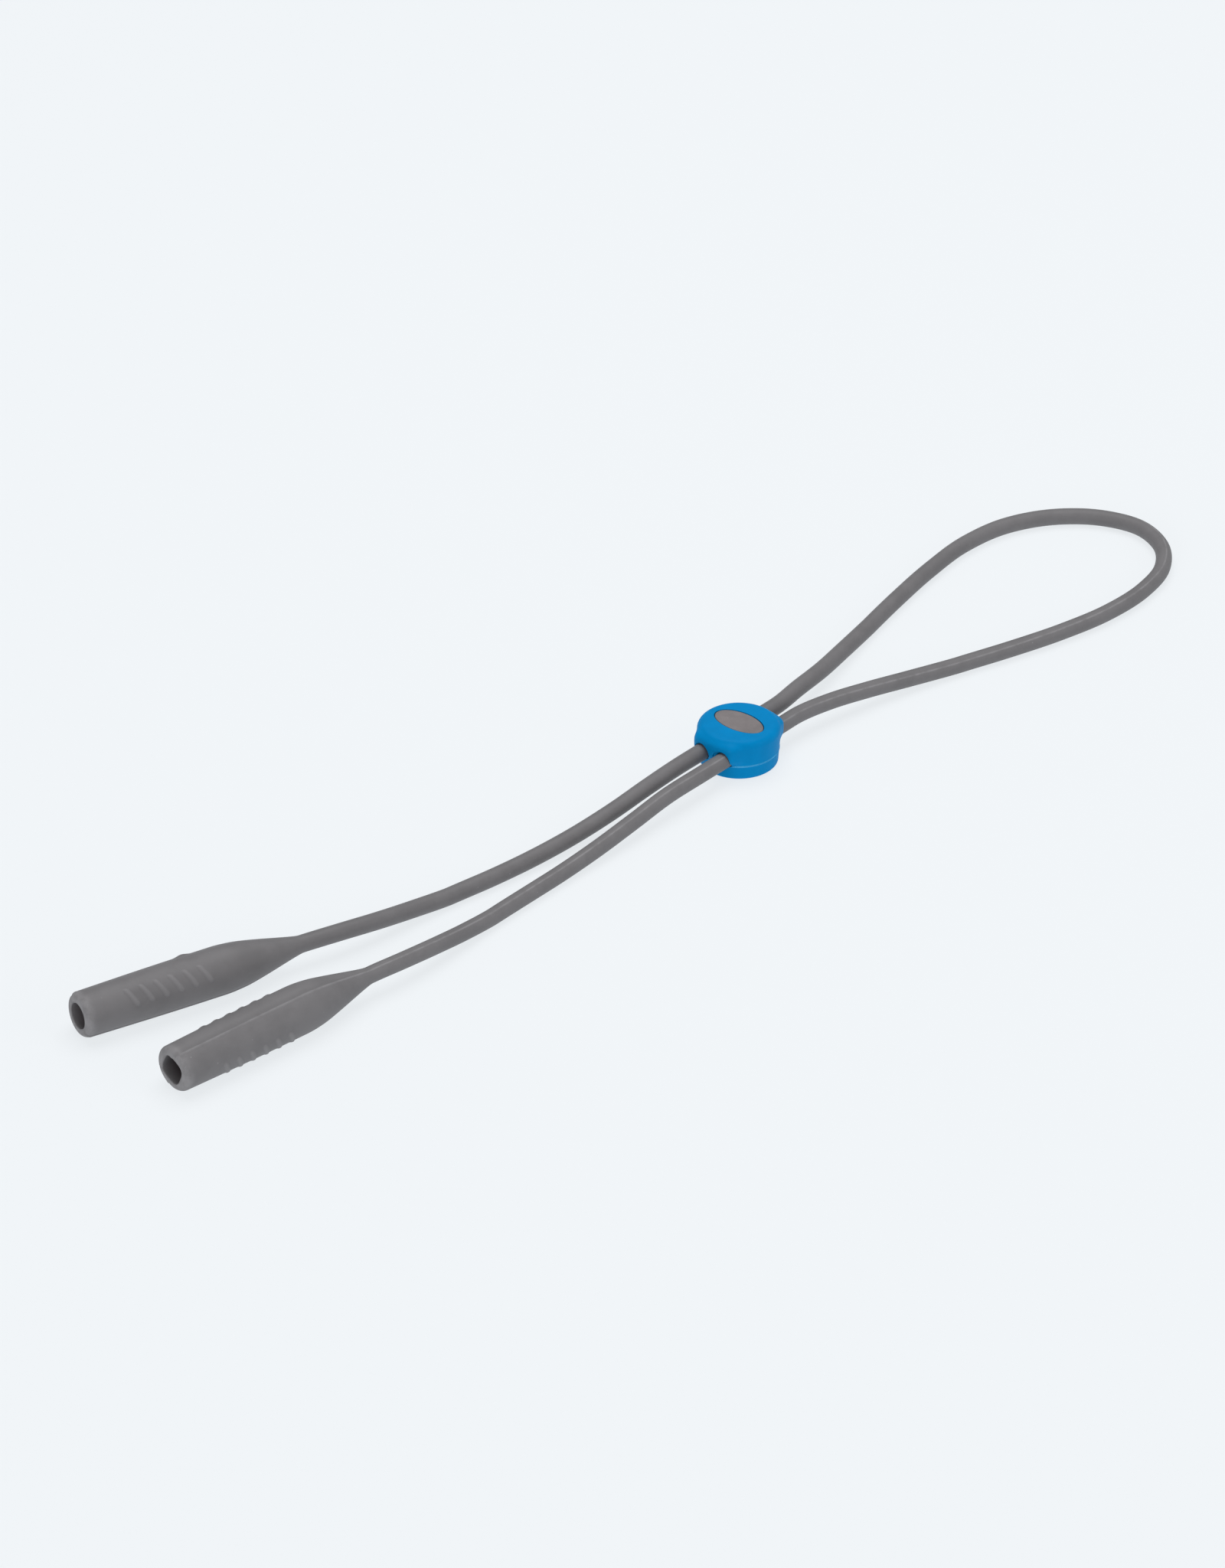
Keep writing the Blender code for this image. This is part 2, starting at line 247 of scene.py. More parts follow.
def angle_property(name, description, default):
    return bpy.props.FloatProperty(name=name, description=description,
                                   default=math.radians(default), subtype="ANGLE", unit="ROTATION")


def share_property(name, description, default):
    return bpy.props.FloatProperty(name=name, description=description, default=default,
                                   min=0.0, max=1.0, subtype="FACTOR")


def colour_property(name, description, default):
    return bpy.props.FloatVectorProperty(name=name, description=description, default=default,
                                         size=3, min=0.0, max=1.0, subtype="COLOR")


def count_property(name, description, default):
    return bpy.props.IntProperty(name=name, description=description, default=default, min=1)


class CordSettings(bpy.types.PropertyGroup):
    diameter: size_property("Diameter", "Thickness of the round cord", CORD_D)
    ring_spacing: size_property("Ring spacing", "Distance between the rings of a strand's tube", 0.0012)
    sides: count_property("Sides", "Number of faces round the cord", 64)
    line_height: size_property("Line height", "How far the parting lines stand out", 0.00006)
    line_width: size_property("Line width", "Width of each parting line", 0.00050)
    sway: angle_property("Sway", "How far the parting lines wander round the cord", 16.0)


class SleeveSettings(bpy.types.PropertyGroup):
    taper: size_property("Taper", "Length from the cord to the full sleeve", 0.0148)
    mouth_d: size_property("Mouth diameter", "Outer diameter at the mouth", 0.00875)
    swell: size_property("Swell", "How much wider the sleeve is than its mouth, at its fullest", 0.00025)
    oval: share_property("Ovality", "Difference between the sleeve's two diameters, as a share", 0.045)
    bore_d: size_property("Bore", "Diameter of the hole for the temple tip", 0.0050)
    bore_stop: size_property("Bore end", "How far the bore ends before the taper", 0.0020)
    rim: size_property("Rim radius", "Rounding of the mouth's outer edge", 0.00110)
    line_height: size_property("Line height", "How far the parting lines stand out", 0.00013)
    line_width: size_property("Line width", "Width of each parting line", 0.00090)
    step: size_property("Mould step", "Depth of the hollow along one side of the parting lines", 0.00014)
    step_width: size_property("Step width", "Width of that hollow", 0.0018)
    gate_place: size_property("Gate place", "Distance from the mouth to the mould's gate mark", 0.0230)
    gate_width: size_property("Gate width", "Radius of the gate mark", 0.0011)
    gate_height: size_property("Gate height", "How far the gate mark stands out", 0.00030)
    sides: count_property("Sides", "Number of faces round the sleeve", 192)
    left_roll: angle_property("Left roll", "Height of the left sleeve's grip bars above level", 40.0)
    right_roll: angle_property("Right roll", "Height of the right sleeve's grip bars above level", -24.0)


class GripSettings(bpy.types.PropertyGroup):
    bars: count_property("Bars", "Number of grip bars on each side of a sleeve", 6)
    first: size_property("First bar", "Distance from the mouth to the first bar", 0.0094)
    pitch: size_property("Pitch", "Distance from one bar to the next", 0.0030)
    width: size_property("Width", "Width of a bar", 0.00100)
    length: size_property("Length", "Length of a bar round the sleeve", 0.0036)
    height: size_property("Height", "How far a bar stands out", 0.00020)
    lean: angle_property("Lean", "Slant of the bars", 24.0)


class SliderSettings(bpy.types.PropertyGroup):
    top_edge: size_property("Top edge", "Rounding of the bead's upper edge", 0.0015)
    base_d: size_property("Base diameter", "Diameter of the bead at its underside", 0.0151)
    bottom_edge: size_property("Bottom edge", "Rounding of the bead's lower edge", 0.0006)
    dome: size_property("Dome", "How much the middle of the top rises above its edge", 0.00015)
    shoulder_width: size_property("Shoulder width", "Width of the block round the passages", 0.0104)
    shoulder_z: size_property("Shoulder level", "Height at which the block is at its fullest", 0.0052)
    shoulder_rise: size_property("Shoulder rise", "How far the block reaches above that level", 0.0029)
    shoulder_drop: size_property("Shoulder drop", "How far the block reaches below that level", 0.0024)
    shoulder_blend: size_property("Shoulder blend", "Rounding where the block meets the bead", 0.0016)
    passage_fit: size_property("Passage fit", "Gap between the cord and its passage", 0.00010)
    mouth_round: size_property("Mouth rounding", "Rounding of each passage's mouth", 0.00045)
    joint_gap: size_property("Joint gap", "Gap between the two halves", 0.00004)
    flash: size_property("Flash", "How far the thin lip at the joint stands out", 0.00010)
    sides: count_property("Sides", "Number of faces round the bead", 192)


class InlaySettings(bpy.types.PropertyGroup):
    gap: size_property("Groove", "Width of the groove round the inlay", 0.00013)
    depth: size_property("Depth", "Depth of the inlay's recess", 0.0010)
    edge: size_property("Edge", "Rounding of the inlay's upper edge", 0.00018)
    sink: size_property("Sink", "How far the inlay lies below the bead's top", 0.00003)
    sides: count_property("Sides", "Number of faces round the inlay", 128)


class FinishSettings(bpy.types.PropertyGroup):
    grey: colour_property("Grey", "Colour of the strap's silicone", (0.163, 0.159, 0.164))
    # the grey highlight colour paints the highlight on the strap's parting lines and the sleeves' rims
    grey_highlight: colour_property("Grey line", "Colour of the strap's parting lines", (0.255, 0.250, 0.258))
    # the bore colour is painted shade deep inside a sleeve, not the silicone's own colour
    bore: colour_property("Bore", "Colour of the silicone inside a sleeve", (0.028, 0.016, 0.020))
    blue: colour_property("Blue", "Colour of the bead", (0.0002, 0.224, 0.528))
    # the blue highlight colour paints the highlight on the bead's lip at the joint
    blue_highlight: colour_property("Blue line", "Colour of the thin lip at the joint", (0.100, 0.480, 0.800))
    inlay: colour_property("Inlay", "Colour of the inlay", (0.200, 0.182, 0.184))
    dust: colour_property("Dust", "Colour of the dust and lint on the silicone", (0.42, 0.42, 0.43))


class StudioSettings(bpy.types.PropertyGroup):
    floor: colour_property("Floor", "Colour of the floor", (0.880, 0.913, 0.939))
    floor_share: share_property("Floor share", "Share of the floor's colour that reflects light", 0.17)
    floor_glow: share_property("Floor glow", "How much of its own light the floor gives off", 0.825)
    azimuth: angle_property("Azimuth", "Camera's direction round the strap", -49.2)
    elevation: angle_property("Elevation", "Camera's height above level", 32.0)
    distance: size_property("Distance", "From the camera to the point that it looks at", 1.6)
    lens: bpy.props.FloatProperty(name="Lens", description="Focal length of the camera's lens",
                                  default=194.0, min=1.0, subtype="DISTANCE_CAMERA")


SETTINGS = {
    "strap_cord": CordSettings,
    "strap_sleeve": SleeveSettings,
    "strap_grip": GripSettings,
    "strap_slider": SliderSettings,
    "strap_inlay": InlaySettings,
    "strap_finish": FinishSettings,
    "strap_studio": StudioSettings,
}


# ---- small shared tools ----

def soft_least(a, b, reach):
    """The lesser of two values, rounded off where they come within a reach of each other."""
    mix = np.maximum(reach - np.abs(a - b), 0.0) / reach
    return np.minimum(a, b) - mix * mix * reach / 4


def soft_most(a, b, reach):
    """The greater of two values, rounded off in the same way."""
    return -soft_least(-a, -b, reach)


def soft_bump(distance, half_width):
    """1 at no distance, and a smooth fall to 0 at the half width."""
    share = np.clip(np.abs(distance) / half_width, 0.0, 1.0)
    return 1.0 - share * share * (3.0 - 2.0 * share)


def around(angle):
    """The same angles, each between minus half a turn and half a turn."""
    return np.angle(np.exp(1j * angle))


def quarter_turn(steps):
    """Even angles from 0 to a right angle."""
    return [math.pi / 2 * step / steps for step in range(steps + 1)]


def new_piece(name, data):
    """A new object with the given mesh, curve or light, in the scene."""
    piece = bpy.data.objects.new(name, data)
    bpy.context.scene.collection.objects.link(piece)
    return piece


def made_plain(obj, name):
    """Replace an object that has modifiers by a plain piece with the same shape."""
    bpy.context.view_layer.update()
    evaluated = obj.evaluated_get(bpy.context.evaluated_depsgraph_get())
    mesh = bpy.data.meshes.new_from_object(evaluated, preserve_all_data_layers=True,
                                           depsgraph=bpy.context.evaluated_depsgraph_get())
    bpy.data.objects.remove(obj, do_unlink=True)
    if not mesh.polygons:
        raise RuntimeError(name + " came out with no faces")
    mesh.name = name
    return new_piece(name, mesh)


def store(mesh, name, values):
    """Keep one number or one vector for each of a mesh's points."""
    values = np.asarray(values, np.float32)
    kind, field = ("FLOAT_VECTOR", "vector") if values.ndim == 2 else ("FLOAT", "value")
    attribute = mesh.attributes.get(name) or mesh.attributes.new(name, kind, "POINT")
    attribute.data.foreach_set(field, values.ravel())


def rings_to_mesh(name, rings, first_tip, last_tip):
    """A closed skin over rings of points, with a fan to a tip at each end."""
    count, sides = len(rings), len(rings[0])
    points = [tuple(point) for ring in rings for point in ring]
    faces = []
    for row in range(count - 1):
        low, high = row * sides, (row + 1) * sides
        for i in range(sides):
            j = (i + 1) % sides
            faces.append((low + i, low + j, high + j, high + i))
    for tip, row, flip in ((first_tip, 0, True), (last_tip, count - 1, False)):
        points.append(tuple(tip))
        centre, start = len(points) - 1, row * sides
        for i in range(sides):
            j = (i + 1) % sides
            corners = (start + i, start + j, centre)
            faces.append(corners[::-1] if flip else corners)
    mesh = bpy.data.meshes.new(name)
    mesh.from_pydata(points, [], faces)
    return mesh


def face_outwards(mesh):
    """Point every face outwards, and raise an error where the skin isn't closed."""
    work = bmesh.new()
    work.from_mesh(mesh)
    bmesh.ops.remove_doubles(work, verts=work.verts, dist=MERGE_DISTANCE)
    bmesh.ops.recalc_face_normals(work, faces=work.faces)
    if work.calc_volume(signed=True) < 0:
        bmesh.ops.reverse_faces(work, faces=work.faces)
    open_edges = sum(not edge.is_manifold for edge in work.edges)
    work.to_mesh(mesh)
    work.free()
    if open_edges:
        raise RuntimeError(f"{mesh.name} has {open_edges} open edges")


def shade(mesh, angle):
    """Smooth shading, with edges over an angle in degrees left sharp."""
    mesh.shade_smooth()
    mesh.set_sharp_from_angle(angle=math.radians(angle))


# ---- node trees ----

def add_node(tree, kind, **values):
    node = tree.nodes.new(kind)
    for name, value in values.items():
        setattr(node, name, value)
    return node


def feed(tree, socket, value):
    """Link a socket, or set it where the value isn't another socket."""
    if isinstance(value, bpy.types.NodeSocket):
        tree.links.new(value, socket)
    else:
        socket.default_value = value


def maths(tree, operation, *values):
    node = add_node(tree, "ShaderNodeMath", operation=operation)
    for socket, value in zip(node.inputs, values):
        feed(tree, socket, value)
    return node.outputs[0]


def ease(tree, value, low, high, out_low, out_high):
    """A smooth step of a value between two levels."""
    node = add_node(tree, "ShaderNodeMapRange", interpolation_type="SMOOTHSTEP")
    for name, setting in (("Value", value), ("From Min", low), ("From Max", high),
                          ("To Min", out_low), ("To Max", out_high)):
        feed(tree, node.inputs[name], setting)
    return node.outputs["Result"]


def new_shape_tree(name, inputs):
    """A Geometry Nodes tree with named inputs: its group input, its group output, the tree."""
    tree = bpy.data.node_groups.new(name, "GeometryNodeTree")
    tree.interface.new_socket("Geometry", in_out="INPUT", socket_type="NodeSocketGeometry")
    for label, kind in inputs:
        tree.interface.new_socket(label, in_out="INPUT", socket_type=kind)
    tree.interface.new_socket("Geometry", in_out="OUTPUT", socket_type="NodeSocketGeometry")
    return tree, add_node(tree, "NodeGroupInput"), add_node(tree, "NodeGroupOutput")


def end_tree(tree, geometry, material, group_output):
    realize = add_node(tree, "GeometryNodeRealizeInstances")
    tree.links.new(geometry, realize.inputs[0])
    paint = add_node(tree, "GeometryNodeSetMaterial")
    tree.links.new(realize.outputs[0], paint.inputs["Geometry"])
    tree.links.new(material, paint.inputs["Material"])
    tree.links.new(paint.outputs[0], group_output.inputs[0])


def stored(tree, geometry, name, value, data_type="FLOAT"):
    node = add_node(tree, "GeometryNodeStoreNamedAttribute", data_type=data_type, domain="POINT")
    node.inputs["Name"].default_value = name
    tree.links.new(geometry, node.inputs["Geometry"])
    tree.links.new(value, node.inputs["Value"])
    return node.outputs[0]


def run_tree(obj, tree, values):
    """Put a tree on an object and set the tree's inputs, by their identifiers."""
    modifier = obj.modifiers.new(tree.name, "NODES")
    modifier.node_group = tree
    names = {item.name: item.identifier for item in tree.interface.items_tree
             if item.in_out == "INPUT"}
    for label, value in values.items():
        modifier[names[label]] = value


# ---- materials ----

def noise(tree, place, scale, detail, roughness):
    node = add_node(tree, "ShaderNodeTexNoise")
    tree.links.new(place, node.inputs["Vector"])
    node.inputs["Scale"].default_value = scale
    node.inputs["Detail"].default_value = detail
    node.inputs["Roughness"].default_value = roughness
    return node.outputs[0]


def blend_colour(tree, share, a, b):
    node = add_node(tree, "ShaderNodeMix", data_type="RGBA", blend_type="MIX")
    feed(tree, node.inputs["Factor"], share)
    feed(tree, node.inputs["A"], a)
    feed(tree, node.inputs["B"], b)
    return node.outputs["Result"]


def weighted(tree, a, b, share):
    """A share of one value and the rest of another."""
    return maths(tree, "ADD", maths(tree, "MULTIPLY", a, share), maths(tree, "MULTIPLY", b, 1.0 - share))


def attribute(tree, name):
    return add_node(tree, "ShaderNodeAttribute", attribute_name=name)


def silicone(name, colour, highlight_colour, finish, roughness, mottling, grain, dusting, gloss):
    """Moulded silicone: mottled colour, a fine matte skin, lint, painted highlights on the parting lines, rims and
    lip, painted shade in the hollows and bores, and paler grip bars.
    """
    material = bpy.data.materials.new(name)
    material.use_nodes = True
    tree = material.node_tree
    shader = tree.nodes["Principled BSDF"]
    place = attribute(tree, "rest_place").outputs["Vector"]

    broad = noise(tree, place, BROAD_SCALE, detail=3.0, roughness=0.55)
    patchy = noise(tree, place, PATCH_SCALE, detail=4.0, roughness=0.6)
    skin = noise(tree, place, SKIN_SCALE, detail=3.0, roughness=0.6)
    shift = weighted(tree, broad, patchy, share=0.6)
    dark = tuple(channel * (1.0 - mottling) for channel in colour)
    light = tuple(min(1.0, channel * (1.0 + mottling)) for channel in colour)
    mottled = ease(tree, shift, *MOTTLE_LEVELS, 0.0, 1.0)
    base = blend_colour(tree, mottled, (*dark, 1.0), (*light, 1.0))

    # painted highlight on the parting lines, the sleeves' rims and the bead's lip, in patches
    line = attribute(tree, "painted_highlight_share").outputs["Fac"]
    painted_highlight = maths(tree, "MULTIPLY", line, ease(tree, patchy, *HIGHLIGHT_LEVELS, LEAST_HIGHLIGHT, 1.0))
    base = blend_colour(tree, painted_highlight, base, (*highlight_colour, 1.0))
    raised = maths(tree, "MULTIPLY", attribute(tree, "relief").outputs["Fac"], RELIEF_PALENESS)
    base = blend_colour(tree, raised, base, (*highlight_colour, 1.0))
    # painted shade in the hollow beside each parting line
    painted_shade = maths(tree, "MULTIPLY", attribute(tree, "painted_shade").outputs["Fac"], PAINTED_SHADE_STRENGTH)
    base = blend_colour(tree, painted_shade, base, (*(PAINTED_SHADE_TONE * channel for channel in colour), 1.0))
    # painted shade down the sleeves' bores, darker further in
    inside = attribute(tree, "inside").outputs["Fac"]
    base = blend_colour(tree, inside, base, (*finish.bore, 1.0))

    specks = add_node(tree, "ShaderNodeTexVoronoi", feature="F1")
    tree.links.new(place, specks.inputs["Vector"])
    specks.inputs["Scale"].default_value = SPECK_SCALE
    speck = ease(tree, specks.outputs["Distance"], *SPECK_REACH, 1.0, 0.0)
    chosen = ease(tree, patchy, *DUST_LEVELS, 0.0, dusting)
    base = blend_colour(tree, maths(tree, "MULTIPLY", speck, chosen), base, (*finish.dust, 1.0))
    tree.links.new(base, shader.inputs["Base Color"])

    rough = ease(tree, shift, *ROUGH_LEVELS, roughness - ROUGH_SPREAD, roughness + ROUGH_SPREAD)
    rough = maths(tree, "ADD", rough, maths(tree, "MULTIPLY", skin, SKIN_ROUGHNESS))
    tree.links.new(rough, shader.inputs["Roughness"])
    height = weighted(tree, skin, patchy, share=0.55)
    bump = add_node(tree, "ShaderNodeBump")
    bump.inputs["Strength"].default_value = BUMP_STRENGTH
    bump.inputs["Distance"].default_value = grain
    tree.links.new(height, bump.inputs["Height"])
    tree.links.new(bump.outputs["Normal"], shader.inputs["Normal"])

    shader.inputs["IOR"].default_value = SILICONE_IOR
    shader.inputs["Specular IOR Level"].default_value = gloss
    return material


def grey_silicone():
    finish = bpy.context.scene.strap_finish
    return bpy.data.materials.get("grey_silicone_skin") or silicone(
        "grey_silicone_skin", finish.grey, finish.grey_highlight, finish, roughness=0.52,
        mottling=0.07, grain=0.00004, dusting=0.5, gloss=0.40)


def blue_silicone():
    finish = bpy.context.scene.strap_finish
    return bpy.data.materials.get("blue_silicone_skin") or silicone(
        "blue_silicone_skin", finish.blue, finish.blue_highlight, finish, roughness=0.40,
        mottling=0.05, grain=0.00003, dusting=0.12, gloss=0.05)


def inlay_silicone():
    finish = bpy.context.scene.strap_finish
    return bpy.data.materials.get("inlay_silicone_skin") or silicone(
        "inlay_silicone_skin", finish.inlay, finish.grey_highlight, finish, roughness=0.45,
        mottling=0.12, grain=0.00005, dusting=0.35, gloss=0.35)


# ---- the cord's centre line ----

def sleeve_place(side):
    """A sleeve's small end, the direction from there to its mouth, and its length."""
    mount = MOUNTS[side + "_sleeve_mouth"]
    axis = Vector(mount["axis"]).normalized()
    node = frame["nodes"][side + "_sleeve"]
    along = [point.co.dot(axis) for point in node.data.vertices]
    length = max(along) - min(along)
    mouth = Vector((mount["pos_m"][0], mount["pos_m"][1], SLEEVE_Z))
    return mouth - axis * length, axis, length


def route_points(route, level):
    rest = CORD_D / 2
    return [Vector((x, y, rest + lift * (level - rest))) for x, y, lift in route]


def passage_points(side, direction):
    near = BEAD_LENGTH / 2 + CORD_D / 2
    far = BEAD_LENGTH / 2 + STRAIGHT_OUT
    y = side * PASSAGE_SPACING / 2
    return [Vector((direction * x, y, PASSAGE_Z)) for x in (-far, -near, near, far)]


def whole_line():
    """Fine points down the middle of the whole cord, from the left sleeve to the right one."""
    left_end, left_axis, _ = sleeve_place("left")
    right_end, right_axis, _ = sleeve_place("right")
    points = [left_end] + route_points(LEFT_ARM_ROUTE, SLEEVE_Z) + [PIVOTS["left_arm_swing"]]
    points += route_points(LEFT_NECK_ROUTE, PASSAGE_Z) + passage_points(1, 1)
    points += route_points(LOOP_ROUTE, PASSAGE_Z) + passage_points(-1, -1)
    points += route_points(RIGHT_NECK_ROUTE, PASSAGE_Z) + [PIVOTS["right_arm_swing"]]
    points += route_points(RIGHT_ARM_ROUTE, SLEEVE_Z) + [right_end]
    gaps = [(b - a).length for a, b in zip(points, points[1:])]
    slopes = [(b - a) / gap for a, b, gap in zip(points, points[1:], gaps)]
    tangents = [-left_axis]
    for i in range(1, len(slopes)):
        mixed = slopes[i - 1] * gaps[i] + slopes[i] * gaps[i - 1]
        tangents.append(mixed / (gaps[i - 1] + gaps[i]))
    tangents.append(right_axis)
    line = [points[0]]
    for i, gap in enumerate(gaps):
        handle_a = points[i] + tangents[i] * gap / 3
        handle_b = points[i + 1] - tangents[i + 1] * gap / 3
        line += interpolate_bezier(points[i], handle_a, handle_b, points[i + 1], CURVE_STEPS)[1:]
    line = np.array(line)
    line[:, 2] = np.maximum(line[:, 2], CORD_D / 2)
    return line


def lengths_along(line):
    steps = np.linalg.norm(np.diff(line, axis=0), axis=1)
    return np.concatenate([[0.0], np.cumsum(steps)])


def stretch(line, start, end, spacing):
    """Even points of a line between two lengths along it, and each point's own length."""
    along = lengths_along(line)
    at = np.linspace(start, end, max(2, round((end - start) / spacing)) + 1)
    return np.stack([np.interp(at, along, line[:, k]) for k in range(3)], axis=1), at


def crossing(line, x, last=False):
    """The length along the line where it first, or last, crosses a plane across X."""
    along = lengths_along(line)
    ahead = line[:, 0] - x
    hits = np.nonzero(ahead[:-1] * ahead[1:] <= 0)[0]
    i = hits[-1] if last else hits[0]
    share = ahead[i] / (ahead[i] - ahead[i + 1])
    return along[i] + share * (along[i + 1] - along[i])


def line_turn(at, total):
    """How far the parting line has turned round the cord at a length along it."""
    sleeve = bpy.context.scene.strap_sleeve
    sway = bpy.context.scene.strap_cord.sway
    start = math.pi / 2 - sleeve.left_roll
    end = math.pi / 2 + sleeve.right_roll
    share = at / total
    hold = np.sin(math.pi * share)
    return start + (end - start) * share + sway * hold * np.sin(SWAYS * math.pi * share)


# ---- cord strands ----

def strand_tree():
    """Sweeps a round section with two parting lines along a curve."""
    tree, group_in, group_out = new_shape_tree("cord_strand", (
        ("Diameter", "NodeSocketFloat"), ("Line Height", "NodeSocketFloat"),
        ("Line Width", "NodeSocketFloat"), ("Sides", "NodeSocketInt"),
        ("Material", "NodeSocketMaterial")))
    radius = maths(tree, "MULTIPLY", group_in.outputs["Diameter"], 0.5)
    circle = add_node(tree, "GeometryNodeCurvePrimitiveCircle")
    tree.links.new(group_in.outputs["Sides"], circle.inputs["Resolution"])
    tree.links.new(radius, circle.inputs["Radius"])

    turn = add_node(tree, "GeometryNodeSplineParameter").outputs["Factor"]
    half_turns = maths(tree, "MULTIPLY", turn, 2.0)
    near = maths(tree, "ABSOLUTE", maths(tree, "SUBTRACT", half_turns, maths(tree, "ROUND", half_turns)))
    arc = maths(tree, "MULTIPLY", near, maths(tree, "MULTIPLY", radius, math.pi))
    half_width = maths(tree, "MULTIPLY", group_in.outputs["Line Width"], 0.5)
    ridge = ease(tree, arc, 0.0, half_width, 1.0, 0.0)
    keep = add_node(tree, "GeometryNodeCaptureAttribute", domain="POINT")
    keep.capture_items.new("FLOAT", "Ridge")
    tree.links.new(circle.outputs["Curve"], keep.inputs["Geometry"])
    tree.links.new(ridge, keep.inputs["Ridge"])

    rise = maths(tree, "DIVIDE", maths(tree, "MULTIPLY", keep.outputs["Ridge"],
                                       group_in.outputs["Line Height"]), radius)
    scale = add_node(tree, "ShaderNodeVectorMath", operation="SCALE")
    tree.links.new(add_node(tree, "GeometryNodeInputPosition").outputs[0], scale.inputs[0])
    tree.links.new(rise, scale.inputs["Scale"])
    shift = add_node(tree, "GeometryNodeSetPosition")
    tree.links.new(keep.outputs["Geometry"], shift.inputs["Geometry"])
    tree.links.new(scale.outputs[0], shift.inputs["Offset"])

    sweep = add_node(tree, "GeometryNodeCurveToMesh")
    tree.links.new(group_in.outputs["Geometry"], sweep.inputs["Curve"])
    tree.links.new(shift.outputs[0], sweep.inputs["Profile Curve"])
    sweep.inputs["Fill Caps"].default_value = True
    # the cord's parting lines get a painted highlight
    marked = stored(tree, sweep.outputs[0], "painted_highlight_share", keep.outputs["Ridge"])
    place = add_node(tree, "GeometryNodeInputPosition").outputs[0]
    placed = stored(tree, marked, "rest_place", place, "FLOAT_VECTOR")
    end_tree(tree, placed, group_in.outputs["Material"], group_out)
    return tree


def build_strand(name, tree, points, turns):
    """A piece of cord: a tube swept along the points, with its parting lines turned as given."""
    cord = bpy.context.scene.strap_cord
    curve = bpy.data.curves.new(name + "_line", "CURVE")
    curve.dimensions = "3D"
    curve.twist_mode = "Z_UP"
    spline = curve.splines.new("POLY")
    spline.points.add(len(points) - 1)
    for spot, place, turn in zip(spline.points, points, turns):
        spot.co = (*place, 1.0)
        spot.tilt = turn
    path = new_piece(name + "_line", curve)
    run_tree(path, tree, {"Diameter": cord.diameter, "Line Height": cord.line_height,
                          "Line Width": cord.line_width, "Sides": cord.sides,
                          "Material": grey_silicone()})
    piece = made_plain(path, name)
    bpy.data.curves.remove(curve)
    for face in piece.data.polygons:
        face.use_smooth = len(face.vertices) == 4
    return piece


def cord_line_and_marks():
    """The whole centre line and the lengths along it where the strands begin and end."""
    line = whole_line()
    left_arm = crossing(line, ARM_END_X)
    right_arm = crossing(line, ARM_END_X, last=True)
    bead_out = crossing(line, 0.0)
    bead_back = crossing(line, 0.0, last=True)
    return line, (0.0, left_arm, bead_out, bead_back, right_arm, lengths_along(line)[-1])


def make_strand(name, line, start, end):
    cord = bpy.context.scene.strap_cord
    points, at = stretch(line, start, end, cord.ring_spacing)
    tree = bpy.data.node_groups.get("cord_strand") or strand_tree()
    piece = build_strand(name, tree, points, line_turn(at, lengths_along(line)[-1]))
    return piece, points


class STRAP_OT_arm_strands(bpy.types.Operator):
    """Build the two strands that bend between the resting cord and the sleeves"""
    bl_idname = "strap.arm_strands"
    bl_label = "Arm Strands"

    def execute(self, context):
        line, marks = cord_line_and_marks()
        for side, start, end in (("left", marks[0], marks[1]), ("right", marks[4], marks[5])):
            piece, points = make_strand(side + "_arm_strand", line, start, end)
            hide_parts(side + "_arm_cord")
            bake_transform(piece)
        return {"FINISHED"}


class STRAP_OT_neck_strands(bpy.types.Operator):
    """Build the two strands that rise from the surface into the slider bead"""
    bl_idname = "strap.neck_strands"
    bl_label = "Neck Strands"

    def execute(self, context):
        line, marks = cord_line_and_marks()
        for side, sign, start, end in (("left", 1, marks[1], marks[2]), ("right", -1, marks[3], marks[4])):
            piece, points = make_strand(side + "_neck_strand", line, start, end)
            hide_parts("loop_cord")
            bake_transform(piece)
        return {"FINISHED"}


class STRAP_OT_loop_strand(bpy.types.Operator):
    """Build the strand that runs out of the slider bead, round the loop and back"""
    bl_idname = "strap.loop_strand"
    bl_label = "Loop Strand"

    def execute(self, context):
        line, marks = cord_line_and_marks()
        piece, points = make_strand("loop_strand", line, marks[2], marks[3])
        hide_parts("loop_cord")
        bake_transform(piece)
        return {"FINISHED"}


# ---- sleeves ----

